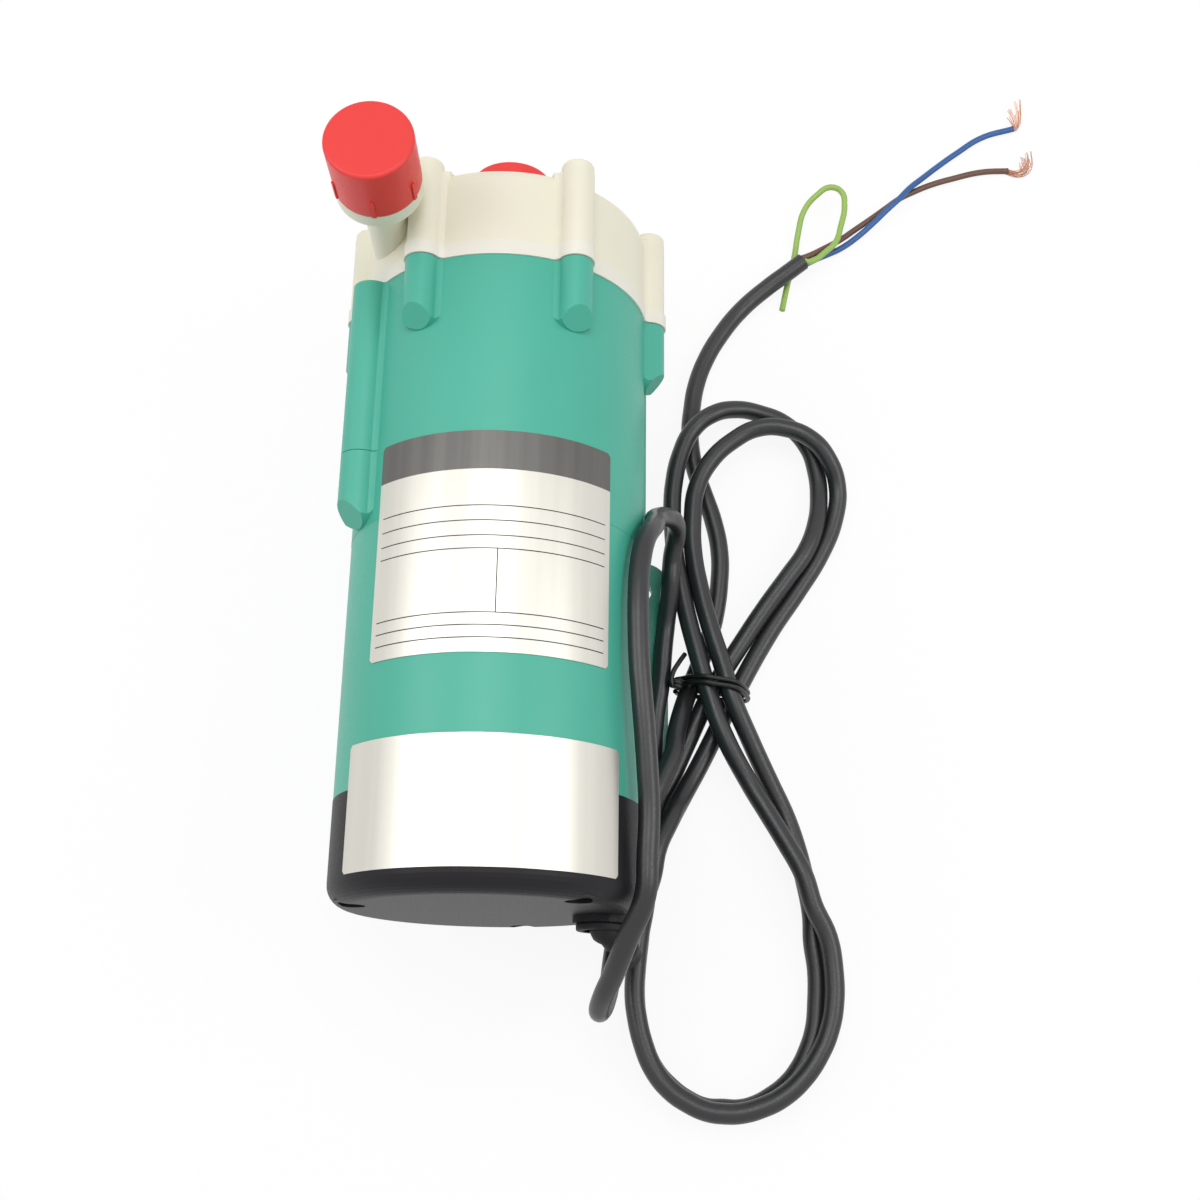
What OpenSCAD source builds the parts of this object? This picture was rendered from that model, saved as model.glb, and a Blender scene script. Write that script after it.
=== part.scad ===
// Magnetic drive pump: a sealed wet end, a magnetic coupling and a capacitor motor on one axis.
// Millimetres. Origin at the centre of the base bolts, on the underside of the base.
// +Y runs along the shaft towards the suction port, +Z is up.
// Angles round the shaft count from +X towards +Z.

/* [Body] */
// Outside radius of the round body
body_r = 44; // [43:0.5:47]
// Height of the shaft above the underside of the base
axis_h = 58; // [57:0.5:62]
// Wall of the bracket and of the motor housing
shell_t = 3.5; // [3:0.1:4]
// Wall of the rear cover
cover_t = 3; // [2.5:0.1:4]
// Seam between the bracket and the motor housing, along the shaft
seam_y = 42; // [40:1:46]
// Length of the bracket
bracket_len = 56; // [55:0.5:62]
// Length of the motor housing
housing_len = 99; // [96:1:110]
// Depth of the rear cover
cover_len = 29; // [27:0.5:36]

/* [Bosses] */
// Radius of the six casing bosses
boss_r = 5.05; // [4.6:0.05:5.6]
// How far the centres of the casing bosses lie outside the body
boss_out = 1.3; // [1:0.1:2.5]
// Length of the casing bosses on the bracket
short_boss_len = 22; // [16:1:30]
// Radius of the two long tie bolt bosses
tie_boss_r = 6; // [5.6:0.1:7]
// How far the centres of the tie bolt bosses lie outside the body
tie_out = 1.5; // [1:0.1:2.5]
// Length of the tie bolt bosses behind the seam
tie_tail_len = 22; // [18:1:30]
// Fillet between a boss and the body
boss_fillet = 2.5; // [1:0.5:4]
// Thread diameter of the casing screws
casing_screw_d = 4; // [3:0.5:4.5]
// Thread diameter of the tie bolts
tie_bolt_d = 5; // [4:0.5:5.5]

/* [Wet end] */
// Thickness of the rear casing's flange
flange_t = 4.8; // [4:0.1:6]
// Length of the front casing
casing_len = 25.4; // [24.5:0.1:30]
// Length of the volute chamber
chamber_len = 18.7; // [18.5:0.1:19.5]
// Radius of the volute where it starts
chamber_r = 32; // [31:0.5:33]
// Growth of the volute's radius up to the outlet
volute_gain = 4.5; // [3:0.1:4.6]
// Inside radius of the can round the inner magnet
can_r = 20; // [19:0.5:21]
// Wall of the can
can_t = 2; // [1.5:0.1:2.5]
// Length of the can behind the flange
can_len = 34; // [32:0.5:35]
// Radius of the impeller
impeller_r = 30; // [28:0.5:30.5]
// Number of impeller blades
blade_n = 6; // [5:1:8]
// Radius of the fixed spindle
spindle_r = 4; // [3.5:0.1:4.5]

/* [Ports] */
// Outside radius of the pipe threads
thread_r = 10.48; // [10:0.02:11]
// Length of the pipe threads
thread_len = 16.5; // [15:0.5:20]
// Bore of the suction port
port_bore_r = 7; // [6:0.1:8]
// Bore of the discharge duct
duct_r = 4.5; // [4:0.1:5]
// Distance of the discharge port to the left of the shaft
discharge_x = 34.5; // [33.5:0.5:35]
// Height of the discharge collar above the shaft
collar_h = 56.5; // [54:0.5:62]
// Wall of the port caps
cap_t = 2; // [1.5:0.1:2.5]

/* [Motor] */
// Gap between the stator and the bore of the motor housing
stator_gap = 2.5; // [2:0.5:3.5]
// Outside radius of the stator
stator_r = body_r - shell_t - stator_gap;
// Length of the stator
stator_len = 42; // [36:1:44]
// Inside radius of the stator
stator_bore = 20; // [19:0.5:21]
// Number of stator slots
slot_n = 16; // [12:2:20]
// Radius of the motor shaft
shaft_r = 5; // [4.5:0.1:5.5]
// Outside radius of the ball bearings
bearing_r = 13; // [12.5:0.1:14]
// Width of the ball bearings
bearing_w = 8; // [7:0.5:8]
// Balls in each bearing
ball_n = 7; // [6:1:8]

/* [Base] */
// Width of the base plate
base_w = 108; // [104:1:112]
// Length of the base plate
base_l = 76; // [72:1:84]
// Thickness of the base plate
base_t = 5; // [4:0.5:6]
// Distance of the base slots from the sides of the plate
slot_in_x = 12; // [11:0.5:13]
// Distance of the base slots from the ends of the plate
slot_in_y = 10; // [8:0.5:12]
// Width of the base slots
slot_w = 6.6; // [5:0.1:7]
// Length of the base slots
slot_l = 13; // [9:0.5:14]

/* [Cord] */
// Diameter of the mains cord
cord_d = 6.2; // [6:0.1:6.8]
// Diameter of each insulated core
core_d = 2.4; // [2:0.1:2.6]

/* [Hidden] */
$fn = 64;

// Clearances
slip = 0.02;
running = 0.05;
spigot_gap = 0.15;
cap_gap = 0.35;
air_gap = 0.4;
eps = 0.01;
fillet_bite = 0.12;

// Stations along the shaft
housing_y0 = seam_y - housing_len;
cover_y0 = housing_y0 - cover_len;
flange_y0 = seam_y + bracket_len;
casing_y0 = flange_y0 + flange_t;
casing_y1 = casing_y0 + casing_len;
chamber_y1 = casing_y0 + chamber_len;
can_y0 = flange_y0 - can_len;

// Shell
bore_r = body_r - shell_t;
spigot_r = bore_r - spigot_gap;
housing_step = 0.1;
relief = 0.1;
tail_lip = 0.5;
spigot_wall = 4.35;
spigot_len = 5;
bulkhead_t = 4;
bulkhead_hole_r = 18;
boss_rc = body_r + boss_out;
boss_angles = [0, 60, 120, 180, 240, 300];
tie_rc = body_r + tie_out;
tie_angles = [150, 330];
tie_head_r = 4.2;
tie_head_h = 4.5;
tie_head_depth = 6;
tie_thread_len = tie_tail_len - tie_boss_r - 2;
screw_clear = 0.25;
casing_screw_len = 41;
casing_head_r = 3.4;
casing_head_h = 3;
casing_boss_rise = 3.3;
casing_boss_round = 1.2;
casing_head_y0 = casing_y1 + relief;
casing_screw_y0 = casing_head_y0 - casing_screw_len;
flange_lip = 0.5;

// Wet end
lip_wall = 2.3;
lip_len = 3;
o_ring_wire_r = 0.95;
o_ring_room = 0.35;
o_ring_r = chamber_r + volute_gain + 2.1;
can_end_t = 3;
seat_r = 8;
seat_len = 8;
seat_floor = 1;
thrust_t = 3;
front_thrust_t = 3.2;
bush_wall = 2.95;
bush_sleeve = 2;
end_play = 0.2;
bush_r = spindle_r + running + bush_wall;
capsule_gap = 1.4;
capsule_wall = 1.6;
capsule_r = can_r - capsule_gap;
capsule_y0 = can_y0 + can_end_t + seat_len + thrust_t + end_play;
lid_y0 = flange_y0;
lid_t = 2;
neck_r = 12;
impeller_y0 = casing_y0 + capsule_gap;
shroud_t = 2.8;
blade_h = 7;
blade_t = 2.2;
cover_shroud_t = 2.5;
hub_r = 9;
eye_r = 11;
eye_depth = 3;
spider_r = 6.5;
spider_len = 4.5;
vane_t = 2.2;
vane_root = 0.7;
spindle_y0 = can_y0 + can_end_t + seat_floor;
spindle_y1 = chamber_y1 + 4;
bush_y1 = chamber_y1 - front_thrust_t - 1.5 * end_play;
casing_round = 4;
suction_boss_r = 14;
suction_boss_h = 5.2;
suction_cone_r = 9.3;
discharge_y = casing_y0 + 11.5;
discharge_neck_r = 6.3;
neck_land = 0.5;
neck_foot = sqrt(pow(chamber_r + volute_gain, 2) - pow(discharge_x - discharge_neck_r, 2)) + neck_land;
collar_r = 12.8;
collar_t = 4.5;
collar_cone = 4;

// Port caps
cap_in_r = thread_r + cap_gap;
cap_r = cap_in_r + cap_t;
cap_len = thread_len + cap_t;
cap_lift = 0.3;
cap_rib = [7, 1.2, 0.5];
cap_round = 1;

// Drive hub
magnet_gap = 1.2;
drive_magnet_r0 = can_r + can_t + magnet_gap;
drive_magnet_t = 4.75;
hub_rim_r0 = drive_magnet_r0 + drive_magnet_t + running;
hub_rim_t = 3;
drive_magnet_len = 28;
drive_magnet_n = 8;
hub_y1 = flange_y0 - 4;
shaft_y1 = can_y0 - 4;
hub_boss_r = 11;
hub_boss_len = 12;
hub_web_t = 4;
set_screw_r = 1.48;

// Motor
shield_t = 4;
front_rim_len = 21;
rear_rim_len = 12;
shield_y1 = seam_y - spigot_len;
stator_y1 = shield_y1 - shield_t - front_rim_len;
stator_y0 = stator_y1 - stator_len;
shield_rim_t = 2.5;
shield_boss_r = bearing_r + 4;
shaft_hole_r = shaft_r + 3;
pocket_wall = 1;
front_bearing_y0 = shield_y1 - shield_t - 3;
rear_shield_y0 = stator_y0 - rear_rim_len - shield_t;
rear_bearing_y0 = rear_shield_y0 - 3;
ball_rc = (shaft_r + bearing_r) / 2;
ball_r = (bearing_r - shaft_r) * 0.2975;
race_gap = 0.04;
ring_t = 2.3;
shaft_y0 = rear_bearing_y0 + 0.2;
rotor_ring_len = 4;
yoke_t = 5;
slot_depth = stator_r - stator_bore - yoke_t;
slot_open = 2;
winding_gap = 0.2;
winding_front = 12;
winding_rear = 11;
stator_slip = 0.05;

// Rear cover
post_rc = bore_r - 3.5;
post_angles = [164, 284, 44];
post_r = 4.6;
post_len = 10;
cover_post_r = 5.2;
cover_round = 6;
cover_back_t = 3.5;
cover_lip_len = 4;
cover_lip_t = 2;
lip_cut = 0.9;
cover_screw_head_r = 3.5;
cover_screw_head_h = 3;
cover_bore_r = 3.75;
cover_seat_t = 9;
gland_x = body_r - 11.5;
gland_z = axis_h - 8;
gland_hole_r = 5.5;
gland_boss_r = 8;
gland_boss_out = 2;
gland_boss_in = 6;
grommet_flange_r = 7;
grommet_flange_t = 2;
capacitor_size = [36, 16, 26];
capacitor_corner = [-28, -4];
capacitor_round = 2;

// Base
cradle_gap = 0.15;
cradle_r = body_r + cradle_gap;
cradle_len = base_l - 8;
cradle_top_w = 70;
cradle_h = 26;
cradle_foot_w = 92;
cradle_floor_t = 4;
tunnel_x = [6, 28];
base_corner_r = 8;
slot_dx = base_w - 2 * slot_in_x;
slot_dy = base_l - 2 * slot_in_y;
base_screw_dy = 52;
base_screw_r = 2;
base_head_r = 3.8;
base_head_h = 4;
base_boss_r = 5;
base_boss_top = axis_h - stator_r - 0.2;

// Cord route, from the grommet round the floor to the bare ends
cord_r = cord_d / 2;
cord_sides = 8;
boot_route = [[32.5, -88, 50], [32.5, -91, 50], [35, -95.2, 49.2], [39.5, -98, 46.5]];
boot_r = [6, 5.6, 5, 4.4];
lead_route = [[39.5, -98, 46.5], [44, -99, 41.5], [47, -97, 34], [47.8, -91.5, 27], [47.5, -84, 21.5],
    [48.5, -72, 18.6], [53, -61, 17]];
loop_route = [
    [48, -52, 12], [48.5, -40, 11], [49, -28, 10], [49.7, -17.5, 9.4], [50.8, -5, 9.6], [51.8, 6, 9.6],
    [52.6, 15, 10.4], [53.7, 26.8, 17.7], [54.7, 34.8, 20.5], [55.8, 40.6, 27], [54.7, 41.7, 35], [51.4, 40, 43],
    [47.9, 35.8, 52], [47.2, 28.5, 65], [45.7, 24, 72], [43.8, 18.4, 77.2], [42.4, 9.6, 80.2], [41.9, -1, 81.8],
    [42, -11, 82], [42.4, -20.5, 81.8], [43.2, -30, 81], [44, -39, 79.8], [44.8, -49, 78.2], [45.4, -60, 76.5],
    [45, -72, 75.8], [44.4, -83, 74.5], [40, -93.5, 69], [36.5, -102, 61.5], [33.8, -109, 51.5],
    [33, -111.5, 43.5], [33.2, -108.5, 33], [34.2, -102.5, 25], [36, -94, 20.3], [38.5, -82, 18],
    [41.5, -70, 18], [44.5, -58, 19.2], [48.5, -46, 18.8]
];
tail_route = [
    [63.5, 80, 4.7], [61.7, 89, 4], [62.2, 97.5, 3.5], [63.8, 105.8, 3.5], [67.5, 116.4, 3.5], [73.4, 127.4, 3.5],
    [81.2, 137.9, 3.5], [91.2, 147, 4.6], [97.2, 151.6, 5.4], [103.5, 156.5, 6.2]
];
blue_route = [[104, 155.9, 5], [105.9, 157, 4.5], [109.7, 159.6, 3.5], [113.6, 162, 2.5], [118.8, 165.3, 1.6],
    [124.4, 169.6, 1.8], [131.4, 176, 2.9], [136.3, 180.9, 3.8], [140.6, 185.1, 4.2], [145.1, 190.4, 3.6],
    [150.6, 195.8, 2.4], [156.7, 201.5, 1.5], [164.1, 207.5, 1.4], [174.5, 214.9, 1.4], [186.7, 219.1, 1.4]];
brown_route = [[102.7, 157.6, 6.3], [105.7, 159, 6], [111.4, 163, 4.4], [118, 168, 2.6], [124.6, 173.7, 1.4],
    [130.2, 178.1, 1.3], [136.1, 182.9, 1.3], [141.2, 187, 1.3], [147, 190.3, 1.3], [153.4, 193.3, 1.4],
    [162, 196.3, 1.4], [173.4, 199.4, 1.4], [183.3, 200.1, 1.4]];
earth_route = [[103.9, 155.9, 7.4], [106.1, 156, 7], [111.8, 160.5, 6.2], [116.1, 165.4, 5.8], [118, 171.5, 6],
    [119.6, 180.1, 7.3], [118.5, 185.2, 8.2], [114.3, 186.8, 8.6], [109.5, 184, 7.8], [104.9, 178.8, 5.5],
    [102.6, 170.1, 3], [101.4, 162.4, 1.3], [100, 156.1, 1.3], [98.4, 149.9, 1.3], [96.1, 139, 1.3]];
hank_z0 = 1.5;
hank_h = 13.8;
tie_at = [69.5, -8];
tie_turn = -14;
hank_waist_r = 10;
upper_lobe = [84.5, 64];
upper_lobe_r = 31;
lower_lobe = [74, -104];
lower_lobe_r = 34.5;
hank_band = 14.5;
tie_wire = 1.1;

function arc(c, r, a0, a1, n = 8) =
    [for (i = [0:n]) c + r * [cos(a0 + (a1 - a0) * i / n), sin(a0 + (a1 - a0) * i / n)]];
function polar(r, a) = [r * cos(a), r * sin(a)];
function unit(v) = v / norm(v);
function tangent(p, i) = unit(p[min(i + 1, len(p) - 1)] - p[max(i - 1, 0)]);
function across(n, t) = unit(n - (n * t) * t);
function normals(p) = [for (i = 0, n = unit(cross(tangent(p, 0), [0.3, 0.1, 1])); i < len(p);
    i = i + 1, n = across(n, tangent(p, min(i, len(p) - 1)))) n];

// Placing and shaping helpers
module on_axis(y) {
    translate([0, y, axis_h]) rotate([-90, 0, 0]) children();
}

module at_angle(a, r, y) {
    on_axis(y) rotate([0, 0, -a]) translate([r, 0, 0]) children();
}

module revolve(points) {
    on_axis(0) rotate_extrude() polygon(points);
}

module ring(r0, r1, y0, y1) {
    revolve([[r0, y0], [r1, y0], [r1, y1], [r0, y1]]);
}

module disc(r, y0, y1) {
    on_axis(y0) cylinder(r = r, h = y1 - y0);
}

// Fills the corners between a boss and a round body with fillets that bite a little into both
module boss_fillets(rc, r, base_r) {
    to_axis = base_r + boss_fillet - fillet_bite;
    to_boss = r + boss_fillet - fillet_bite;
    x = (to_axis * to_axis - to_boss * to_boss + rc * rc) / (2 * rc);
    y = sqrt(to_axis * to_axis - x * x);
    for (s = [-1, 1]) difference() {
        polygon([[0, 0], [x, s * y], [rc, 0]]);
        translate([x, s * y]) circle(boss_fillet);
    }
}

// A boss on the outside of the body
module boss(a, rc, r, y0, y1, base_r = body_r) {
    on_axis(y0) rotate([0, 0, -a]) linear_extrude(y1 - y0) {
        translate([rc, 0]) circle(r);
        boss_fillets(rc, r, base_r);
    }
}

// A boss whose rear end is rounded as seen from outside and slopes down to the body
module tailed_boss(a, rc, r, y0, y1) {
    end_r = r + boss_fillet;
    size = 4 * end_r;
    difference() {
        boss(a, rc, r, y0, y1);
        at_angle(a, body_r + tail_lip, y0) rotate([0, -45, 0]) translate([-size / 2, -size / 2, -size])
            cube(size);
        at_angle(a, body_r - shell_t, y0) difference() {
            translate([0, -size / 2, -1]) cube([size, size, end_r + 1]);
            translate([-1, 0, end_r]) rotate([0, 90, 0]) cylinder(r = end_r, h = size + 2);
        }
    }
}

// Outline of two circles and the band between their common tangents
module wrapped(c0, r0, c1, r1) {
    turn = atan2(c1[1] - c0[1], c1[0] - c0[0]);
    a = acos((r0 - r1) / norm(c1 - c0));
    e0 = r0 - fillet_bite;
    e1 = r1 - fillet_bite;
    translate(c0) circle(r0);
    translate(c1) circle(r1);
    polygon([c0 + polar(e0, turn + a), c0 + polar(e0, turn - a),
        c1 + polar(e1, turn - a), c1 + polar(e1, turn + a)]);
}

module round_rect(w, l, r) {
    polygon(concat(arc([w / 2 - r, l / 2 - r], r, 0, 90), arc([r - w / 2, l / 2 - r], r, 90, 180),
        arc([r - w / 2, r - l / 2], r, 180, 270), arc([w / 2 - r, r - l / 2], r, 270, 360)));
}

// A tube of round section along a route, with a radius for each point or one for all
module tube(route, radius) {
    n = normals(route);
    s = cord_sides;
    m = len(route);
    points = [for (i = [0:m - 1]) let (t = tangent(route, i), b = cross(t, n[i]),
        r = is_list(radius) ? radius[i] : radius)
        for (k = [0:s - 1]) route[i] + r * (cos(360 * k / s) * n[i] + sin(360 * k / s) * b)];
    sides = [for (i = [0:m - 2]) for (k = [0:s - 1]) let (a = i * s + k, b = i * s + (k + 1) % s)
        each [[a, a + s, b], [b, a + s, b + s]]];
    start_cap = [for (k = [0:s - 1]) k];
    end_cap = [for (k = [0:s - 1]) m * s - 1 - k];
    polyhedron(points, concat(sides, [start_cap, end_cap]));
}

// Wet end
module front_casing() {
    screw_hole = casing_screw_d + 2 * screw_clear;
    color("ivory") difference() {
        union() {
            revolve(concat([[0, casing_y0], [body_r, casing_y0]],
                arc([body_r - casing_round, casing_y1 - casing_round], casing_round, 0, 90),
                [[0, casing_y1]]));
            for (a = boss_angles) {
                boss(a, boss_rc, boss_r, casing_y0, casing_y1);
                at_angle(a, boss_rc, casing_y1 - 1) boss_top();
            }
            translate([-discharge_x, discharge_y, axis_h]) cylinder(r = discharge_neck_r, h = neck_foot);
        }
        volute();
        revolve([[0, chamber_y1 - 1], [eye_r, chamber_y1 - 1], [eye_r, chamber_y1 + eye_depth],
            [suction_cone_r, casing_y1], [suction_cone_r, casing_y1 + 1], [0, casing_y1 + 1]]);
        translate([-discharge_x, discharge_y, axis_h]) {
            cylinder(r = duct_r, h = neck_foot + 1);
            translate([0, 0, neck_foot]) cylinder(r = discharge_neck_r + slip, h = collar_h);
        }
        for (a = boss_angles) {
            at_angle(a, boss_rc, casing_y0 - 1) cylinder(d = screw_hole, h = casing_len + 2);
            at_angle(a, boss_rc, casing_head_y0) cylinder(r = casing_head_r + screw_clear, h = casing_len);
        }
    }
    color("ivory") spider();
}

// The rounded end of a casing boss
module boss_top() {
    r = boss_r - relief;
    h = casing_boss_rise + 1;
    rotate_extrude() polygon(concat([[0, 0], [r, 0]],
        arc([r - casing_boss_round, h - casing_boss_round], casing_boss_round, 0, 90, 5), [[0, h]]));
}

// The nozzles are cast on the front casing and carry the pipe threads
module suction_nozzle() {
    thread_y0 = casing_y1 + suction_boss_h;
    thread_y1 = thread_y0 + thread_len;
    color("ivory") revolve([[suction_cone_r, casing_y1], [suction_boss_r, casing_y1],
        [suction_boss_r, thread_y0], [thread_r, thread_y0], [thread_r, thread_y1],
        [port_bore_r, thread_y1], [port_bore_r, thread_y0]]);
}

module discharge_nozzle() {
    neck_top = collar_h - collar_t - collar_cone;
    thread_top = collar_h + thread_len;
    color("ivory") translate([-discharge_x, discharge_y, axis_h]) rotate_extrude()
        polygon([[duct_r, neck_foot], [discharge_neck_r, neck_foot], [discharge_neck_r, neck_top],
            [collar_r, collar_h - collar_t], [collar_r, collar_h], [thread_r, collar_h],
            [thread_r, thread_top], [duct_r, thread_top]]);
}

// The chamber's radius grows with the flow, from the tongue round to the outlet
module volute() {
    tongue = 150;
    sweep_a = 330;
    steps = 44;
    on_axis(casing_y0 - 1) linear_extrude(chamber_len + 1)
        polygon([for (i = [0:steps])
            polar(chamber_r + volute_gain * i / steps, sweep_a * i / steps - tongue)]);
}

// Three vanes in the suction eye hold the front end of the spindle
module spider() {
    difference() {
        union() {
            disc(spider_r, chamber_y1, chamber_y1 + spider_len);
            for (a = [90, 210, 330])
                at_angle(a, (spider_r + eye_r) / 2, chamber_y1)
                    translate([-(eye_r - spider_r) / 2 - 1, -vane_t / 2, 0])
                        cube([eye_r - spider_r + 2 * vane_root, vane_t, eye_depth - vane_root]);
        }
        disc(spindle_r + slip, chamber_y1 - 1, spindle_y1);
    }
}

module rear_casing() {
    groove = o_ring_wire_r + o_ring_room;
    rim_r = body_r + flange_lip;
    color("white") difference() {
        union() {
            disc(rim_r, flange_y0, casing_y0);
            for (a = boss_angles)
                boss(a, boss_rc, boss_r + flange_lip, flange_y0 + relief, casing_y0 - relief, rim_r);
            ring(spigot_r - lip_wall, spigot_r, flange_y0 - lip_len, flange_y0 + 1);
            disc(can_r + can_t, can_y0, flange_y0 + 1);
        }
        disc(can_r, can_y0 + can_end_t, casing_y0 + 1);
        ring(o_ring_r - groove, o_ring_r + groove, casing_y0 - 2 * o_ring_wire_r, casing_y0 + 1);
        for (a = boss_angles)
            at_angle(a, boss_rc, flange_y0 - 1)
                cylinder(d = casing_screw_d + 2 * screw_clear, h = flange_t + 2);
    }
    color("white") difference() {
        disc(seat_r, can_y0 + can_end_t - eps, can_y0 + can_end_t + seat_len);
        disc(spindle_r + slip, spindle_y0, capsule_y0);
    }
}

module o_ring() {
    color("black") on_axis(casing_y0 - o_ring_wire_r) rotate_extrude()
        translate([o_ring_r, 0]) circle(o_ring_wire_r, $fn = 24);
}

module casing_screws() {
    color("silver") for (a = boss_angles) {
        at_angle(a, boss_rc, casing_screw_y0) cylinder(d = casing_screw_d, h = casing_screw_len + eps);
        at_angle(a, boss_rc, casing_head_y0) screw_head(casing_head_r, casing_head_h);
    }
}

// A round screw head with a hexagon socket
module screw_head(r, h) {
    difference() {
        rotate_extrude() polygon(concat([[0, 0], [r, 0]], arc([r - 0.8, h - 0.8], 0.8, 0, 90, 4), [[0, h]]));
        translate([0, 0, h / 2]) cylinder(r = r * 0.45, h = h, $fn = 6);
    }
}

module impeller() {
    blade_y0 = impeller_y0 + shroud_t;
    blade_y1 = blade_y0 + blade_h;
    collar_y1 = chamber_y1 - 1.5;
    color("ivory") difference() {
        union() {
            disc(impeller_r, impeller_y0, blade_y0);
            disc(hub_r, impeller_y0, bush_y1);
            for (i = [0:blade_n - 1]) on_axis(blade_y0 - 0.5) rotate([0, 0, 360 * i / blade_n])
                linear_extrude(blade_h + 1) blade();
            ring(eye_r + 1, impeller_r, blade_y1, blade_y1 + cover_shroud_t);
            ring(eye_r - 1, eye_r + 1, blade_y1, collar_y1);
        }
        disc(bush_r + slip, impeller_y0 - 1, chamber_y1);
    }
}

// A blade is the part of a ring that runs from the eye back to the rim
module blade() {
    blade_rc = impeller_r * 0.62;
    intersection() {
        translate([0, blade_rc]) difference() {
            circle(blade_rc);
            circle(blade_rc - blade_t);
        }
        difference() {
            circle(impeller_r - 0.2);
            circle(eye_r - 0.5);
        }
        square(impeller_r);
    }
}

module magnet_capsule() {
    color("ivory") difference() {
        disc(capsule_r, capsule_y0, lid_y0);
        ring(bush_r + bush_sleeve, capsule_r - capsule_wall, capsule_y0 + capsule_wall, lid_y0 + 1);
        disc(bush_r + slip, capsule_y0 - 1, lid_y0 + 1);
    }
}

module magnet_lid() {
    color("ivory") difference() {
        union() {
            disc(capsule_r, lid_y0, lid_y0 + lid_t);
            disc(neck_r, lid_y0, impeller_y0);
        }
        disc(bush_r + slip, lid_y0 - 1, impeller_y0 + 1);
    }
}

module inner_magnet() {
    color("dimgray") ring(bush_r + bush_sleeve + running, capsule_r - capsule_wall - running,
        capsule_y0 + capsule_wall + running, lid_y0);
}

module impeller_bush() {
    color("dimgray")
        ring(spindle_r + running, bush_r, capsule_y0 + end_play, bush_y1);
}

module spindle() {
    color("white") disc(spindle_r, spindle_y0, spindle_y1);
}

module front_thrust_ring() {
    color("white") ring(spindle_r + running, spider_r - 0.1, chamber_y1 - front_thrust_t, chamber_y1);
}

module rear_thrust_ring() {
    seat_y1 = can_y0 + can_end_t + seat_len;
    color("white") ring(spindle_r + running, seat_r - 0.5, seat_y1, seat_y1 + thrust_t);
}

// Coupling between the motor and the wet end
module bracket() {
    color("mediumseagreen") difference() {
        union() {
            disc(body_r, seam_y, flange_y0);
            for (a = boss_angles)
                tailed_boss(a, boss_rc, boss_r, flange_y0 - short_boss_len, flange_y0 - relief);
            for (a = tie_angles) boss(a, tie_rc, tie_boss_r, seam_y + relief, flange_y0 - relief);
            disc(spigot_r, seam_y - spigot_len, seam_y + 1);
        }
        disc(bore_r, seam_y + bulkhead_t, flange_y0 + 1);
        disc(spigot_r - spigot_wall, seam_y - spigot_len - 1, seam_y);
        disc(bulkhead_hole_r, seam_y - 1, flange_y0);
        for (a = boss_angles)
            at_angle(a, boss_rc, casing_screw_y0 - 2)
                cylinder(d = casing_screw_d + 2 * slip, h = casing_screw_len);
        for (a = tie_angles) {
            at_angle(a, tie_rc, seam_y - 1) cylinder(d = tie_bolt_d + 2 * screw_clear, h = bracket_len + 2);
            at_angle(a, tie_rc, flange_y0 - tie_head_depth)
                cylinder(r = tie_head_r + screw_clear, h = tie_head_depth + 1);
        }
    }
}

module drive_hub() {
    boss_y0 = shaft_y1 - hub_boss_len;
    web_y0 = boss_y0 + hub_web_t;
    color("gray") difference() {
        union() {
            disc(hub_boss_r, boss_y0, shaft_y1);
            disc(hub_rim_r0 + hub_rim_t, web_y0, web_y0 + hub_web_t);
            ring(hub_rim_r0, hub_rim_r0 + hub_rim_t, web_y0, hub_y1);
        }
        disc(shaft_r + slip / 2, boss_y0 - 1, shaft_y1 + 1);
        at_angle(90, 0, boss_y0 + hub_web_t / 2) rotate([0, 90, 0])
            cylinder(r = set_screw_r + slip, h = hub_boss_r + 1);
    }
}

module drive_magnets() {
    segment_gap = 1.5;
    color("dimgray") difference() {
        ring(drive_magnet_r0, drive_magnet_r0 + drive_magnet_t, hub_y1 - drive_magnet_len, hub_y1);
        for (i = [0:drive_magnet_n - 1])
            at_angle(360 * i / drive_magnet_n, 0, hub_y1 - drive_magnet_len - 1)
                translate([0, -segment_gap / 2, 0])
                    cube([drive_magnet_r0 + drive_magnet_t + 1, segment_gap, drive_magnet_len + 2]);
    }
}

module hub_set_screw() {
    boss_y0 = shaft_y1 - hub_boss_len;
    color("black") at_angle(90, 0, boss_y0 + hub_web_t / 2) rotate([0, 90, 0])
        translate([0, 0, shaft_r + slip]) cylinder(r = set_screw_r, h = hub_boss_r - shaft_r - 0.5);
}

// Motor
module motor_shaft() {
    color("silver") disc(shaft_r, shaft_y0, shaft_y1);
}

module rotor_core() {
    end_r = stator_bore - air_gap - 0.6;
    color("slategray") difference() {
        union() {
            disc(stator_bore - air_gap, stator_y0, stator_y1);
            disc(end_r, stator_y0 - rotor_ring_len, stator_y1 + rotor_ring_len);
        }
        ring(shaft_r + 1, end_r - 5, stator_y1, stator_y1 + rotor_ring_len + 1);
        ring(shaft_r + 1, end_r - 5, stator_y0 - rotor_ring_len - 1, stator_y0);
        disc(shaft_r + slip / 2, stator_y0 - rotor_ring_len - 1, stator_y1 + rotor_ring_len + 1);
    }
}

module for_each_bearing() {
    for (y = [front_bearing_y0, rear_bearing_y0]) translate([0, y, 0]) children();
}

module race_groove() {
    on_axis(bearing_w / 2) rotate_extrude() translate([ball_rc, 0]) circle(ball_r + race_gap, $fn = 32);
}

module bearing_outer_rings() {
    color("silver") for_each_bearing() difference() {
        ring(bearing_r - ring_t, bearing_r, 0, bearing_w);
        race_groove();
    }
}

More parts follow.
